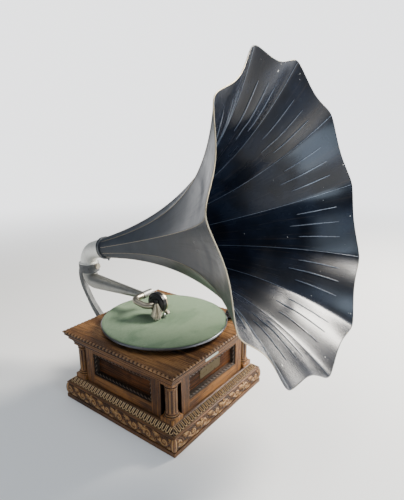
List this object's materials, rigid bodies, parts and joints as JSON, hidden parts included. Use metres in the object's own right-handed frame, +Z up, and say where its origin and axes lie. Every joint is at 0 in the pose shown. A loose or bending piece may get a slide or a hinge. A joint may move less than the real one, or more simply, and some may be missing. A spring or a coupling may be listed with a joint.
{
  "type": "horn gramophone",
  "caption": "Wind-up horn gramophone: carved oak case with spring motor, felt turntable, rear bracket carrying a fold-back tonearm and soundbox, and a large petal horn on a swivelling elbow.",
  "frame": {"origin": "centre of the underside of the case's base board", "axes": "+Z up; the front of the case faces -Y, the bracket and the horn's elbow stand at the back (+Y) and the crank is on the right (+X) side"},
  "size_m": [0.5806, 0.7218, 0.7588],
  "materials": {
    "oiled_quarter_sawn_oak_wood": "oiled quarter-sawn oak",
    "dark_stained_carved_oak_wood": "dark stained carved oak",
    "aged_brass": "aged",
    "machined_brushed_steel": "machined",
    "dull_grey_cast_iron": "dull grey",
    "black_painted_metal": "black",
    "dull_nickel_plate_chrome": "dull nickel plate",
    "sage_green_felt_fabric": "sage green felt",
    "varnished_wood": "varnished",
    "matt_black_rubber": "matt black",
    "thin_mica_sheet_gloss_plastic": "thin mica sheet",
    "cream_bristle_fabric": "cream bristle",
    "matt_cast_aluminium": "matt cast",
    "glossy_blue_black_paint_painted_metal": "glossy blue-black paint"
  },
  "bodies": {
    "case": {"base_board": "oiled_quarter_sawn_oak_wood", "plinth_moulding": "dark_stained_carved_oak_wood", "tongue_moulding": "dark_stained_carved_oak_wood", "panel_frames": "oiled_quarter_sawn_oak_wood", "side_panels": "oiled_quarter_sawn_oak_wood", "panel_mouldings": "dark_stained_carved_oak_wood", "back_board": "oiled_quarter_sawn_oak_wood", "corner_posts": "oiled_quarter_sawn_oak_wood", "corner_columns": "oiled_quarter_sawn_oak_wood", "cornice": "oiled_quarter_sawn_oak_wood", "top_board": "oiled_quarter_sawn_oak_wood", "front_plate": "aged_brass", "case_screws": "machined_brushed_steel", "crank_escutcheon": "aged_brass", "horn_bracket": "dull_grey_cast_iron", "motor_bedplate": "dull_grey_cast_iron", "motor_lower_plate": "dull_grey_cast_iron", "motor_pillars": "machined_brushed_steel", "bearing_hangers": "dull_grey_cast_iron", "brake_plate": "aged_brass", "regulator_plate": "aged_brass"},
    "turntable": {"platter": "dull_nickel_plate_chrome", "platter_felt": "sage_green_felt_fabric", "spindle": "machined_brushed_steel", "worm_wheel": "aged_brass"},
    "layshaft_body": {"layshaft": "machined_brushed_steel", "layshaft_wheel": "aged_brass"},
    "barrel": {"spring_barrel": "aged_brass", "barrel_cover": "aged_brass", "mainspring": "machined_brushed_steel"},
    "winding": {"winding_arbor": "machined_brushed_steel", "crown_wheel": "aged_brass", "ratchet_wheel": "machined_brushed_steel"},
    "pawl": {"ratchet_pawl": "machined_brushed_steel"},
    "governor": {"governor_shaft": "machined_brushed_steel", "governor_springs": "machined_brushed_steel"},
    "friction_disc": {"governor_disc": "aged_brass"},
    "weight_a": {"governor_weight_a": "aged_brass"},
    "weight_b": {"governor_weight_b": "aged_brass"},
    "weight_c": {"governor_weight_c": "aged_brass"},
    "crank": {"crank_shaft": "machined_brushed_steel", "crank_arm": "dull_nickel_plate_chrome"},
    "grip": {"crank_grip": "varnished_wood"},
    "arm": {"tonearm": "dull_nickel_plate_chrome", "neck_nut": "dull_nickel_plate_chrome"},
    "soundbox": {"gooseneck": "dull_nickel_plate_chrome", "soundbox_body": "dull_nickel_plate_chrome", "soundbox_rubber": "matt_black_rubber", "diaphragm": "thin_mica_sheet_gloss_plastic", "brush_holder": "aged_brass", "brush_bristles": "cream_bristle_fabric"},
    "stylus": {"stylus_bar": "dull_nickel_plate_chrome", "needle": "machined_brushed_steel"},
    "stylus_screw": {"needle_screw": "dull_nickel_plate_chrome"},
    "horn": {"horn_elbow": "matt_cast_aluminium", "horn_collar": "black_painted_metal", "horn_bell": "glossy_blue_black_paint_painted_metal"},
    "thumbscrew": {"elbow_thumbscrew": "dull_nickel_plate_chrome"},
    "brake": {"brake_lever": "black_painted_metal"},
    "regulator": {"regulator_knob": "black_painted_metal"}
  },
  "joints": [
    {"name": "turntable_spin", "type": "hinge", "parent": "case", "child": "turntable", "pos_m": [0, -0.0034, 0.2002], "axis": [0, 0, 1], "continuous": true},
    {"name": "layshaft_spin", "type": "hinge", "parent": "case", "child": "layshaft_body", "pos_m": [-0.0252, 0.0302, 0.06], "axis": [0, 0, 1], "continuous": true},
    {"name": "barrel_spin", "type": "hinge", "parent": "case", "child": "barrel", "pos_m": [0.0168, 0.0617, 0.06], "axis": [0, 0, 1], "continuous": true},
    {"name": "governor_spin", "type": "hinge", "parent": "case", "child": "governor", "pos_m": [0, -0.0324, 0.096], "axis": [1, 0, 0], "continuous": true},
    {"name": "friction_disc_slide", "type": "slide", "parent": "governor", "child": "friction_disc", "axis": [-1, 0, 0], "range_m": [0, 0.0015], "deforming": ["governor_springs"]},
    {"name": "weight_a_slide", "type": "slide", "parent": "governor", "child": "weight_a", "axis": [0, 0, 1], "range_m": [0, 0.004]},
    {"name": "weight_b_slide", "type": "slide", "parent": "governor", "child": "weight_b", "axis": [0, -0.866, -0.5], "range_m": [0, 0.004]},
    {"name": "weight_c_slide", "type": "slide", "parent": "governor", "child": "weight_c", "axis": [0, 0.866, -0.5], "range_m": [0, 0.004]},
    {"name": "crank_turn", "type": "hinge", "parent": "case", "child": "crank", "pos_m": [0.15, 0.0617, 0.116], "axis": [1, 0, 0], "continuous": true},
    {"name": "winding_spin", "type": "hinge", "parent": "case", "child": "winding", "pos_m": [0.0168, 0.0617, 0.13], "axis": [0, 0, 1], "continuous": true},
    {"name": "grip_spin", "type": "hinge", "parent": "crank", "child": "grip", "pos_m": [0.22, 0.0617, 0.022], "axis": [1, 0, 0], "continuous": true},
    {"name": "pawl_lift", "type": "hinge", "parent": "case", "child": "pawl", "pos_m": [0.0128, 0.0857, 0.162], "axis": [0, 0, 1], "range_deg": [0, 15]},
    {"name": "tonearm_swing", "type": "hinge", "parent": "case", "child": "arm", "pos_m": [0, 0.268, 0.2684], "axis": [0, 0, 1], "range_deg": [0, 38]},
    {"name": "gooseneck_fold", "type": "hinge", "parent": "arm", "child": "soundbox", "pos_m": [0, 0.066, 0.242], "axis": [-1, 0, 0], "range_deg": [0, 120]},
    {"name": "stylus_rock", "type": "hinge", "parent": "soundbox", "child": "stylus", "pos_m": [0.0125, 0.00561, 0.21445], "axis": [0, -0.8746, 0.4848], "range_deg": [-0.5, 0.5], "stiffness_Nm_per_rad": 0.5},
    {"name": "needle_screw_turn", "type": "hinge", "parent": "stylus", "child": "stylus_screw", "pos_m": [0.0125, 0.00173, 0.20745], "axis": [0, -0.8746, 0.4848], "range_deg": [-720, 0]},
    {"name": "horn_swivel", "type": "hinge", "parent": "case", "child": "horn", "pos_m": [0, 0.268, 0.2914], "axis": [0, 0, 1], "range_deg": [-60, 60]},
    {"name": "thumbscrew_turn", "type": "hinge", "parent": "case", "child": "thumbscrew", "pos_m": [0, 0.233, 0.2874], "axis": [0, -1, 0], "range_deg": [-720, 0]},
    {"name": "brake_turn", "type": "hinge", "parent": "case", "child": "brake", "pos_m": [0.124, -0.115, 0.185], "axis": [0, 0, 1], "range_deg": [0, 20]},
    {"name": "regulator_turn", "type": "hinge", "parent": "case", "child": "regulator", "pos_m": [0.12, 0.11, 0.185], "axis": [0, 0, 1], "range_deg": [0, 270]}
  ],
  "couplings": [
    {"joint": "layshaft_spin", "follows": "turntable_spin", "ratio": -0.2},
    {"joint": "barrel_spin", "follows": "turntable_spin", "ratio": 0.033333},
    {"joint": "governor_spin", "follows": "turntable_spin", "ratio": -12},
    {"joint": "winding_spin", "follows": "crank_turn", "ratio": -0.33333},
    {"joint": "weight_a_slide", "follows": "friction_disc_slide", "ratio": 2.5},
    {"joint": "weight_b_slide", "follows": "friction_disc_slide", "ratio": 2.5},
    {"joint": "weight_c_slide", "follows": "friction_disc_slide", "ratio": 2.5}
  ]
}
